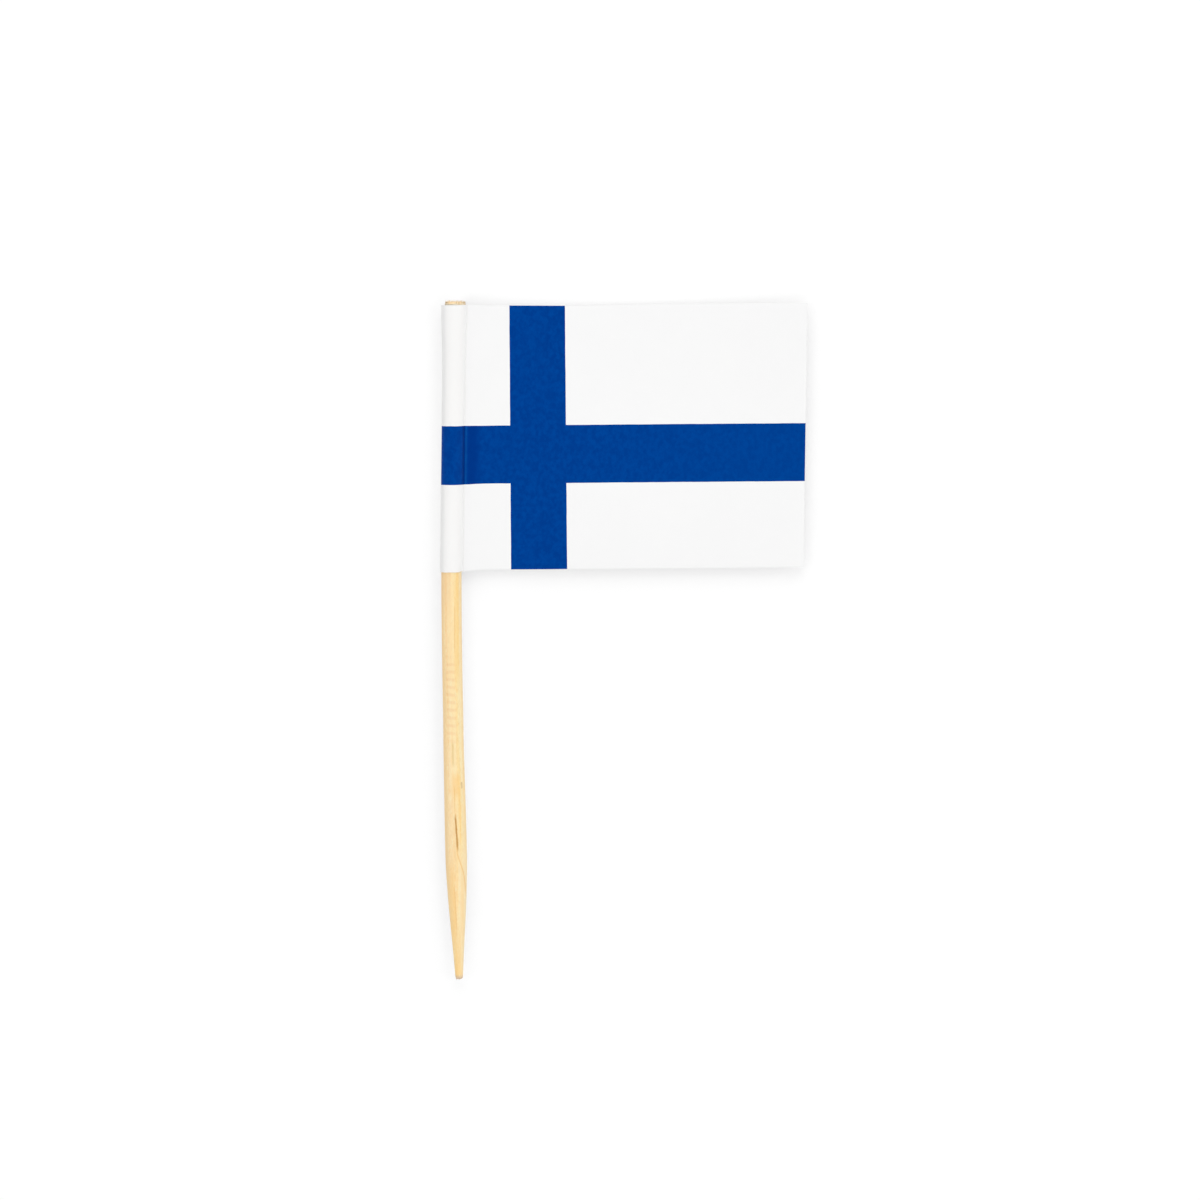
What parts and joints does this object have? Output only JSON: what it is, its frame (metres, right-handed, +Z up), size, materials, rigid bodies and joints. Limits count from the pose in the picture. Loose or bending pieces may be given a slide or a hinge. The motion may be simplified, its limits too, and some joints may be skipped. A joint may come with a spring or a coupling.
{
  "type": "flag toothpick",
  "caption": "Round wooden pick with a sawn head and a tapered point, carrying a small paper flag with an off-centre printed cross, folded round the shank and glued back to back.",
  "frame": {"origin": "middle of the part's bounding box, on the surface that the part lies on", "axes": "+X from the pick to the free edge of the flag, +Y to the sawn head of the pick, +Z up out of the flag's front"},
  "size_m": [0.0356, 0.065, 0.0023],
  "materials": {
    "birch_wood": "matte",
    "white_paper": "satin",
    "blue_ink": "satin"
  },
  "bodies": {
    "root": {"pick": "birch_wood", "paper_flag": "white_paper", "cross_print": "blue_ink"}
  },
  "joints": []
}
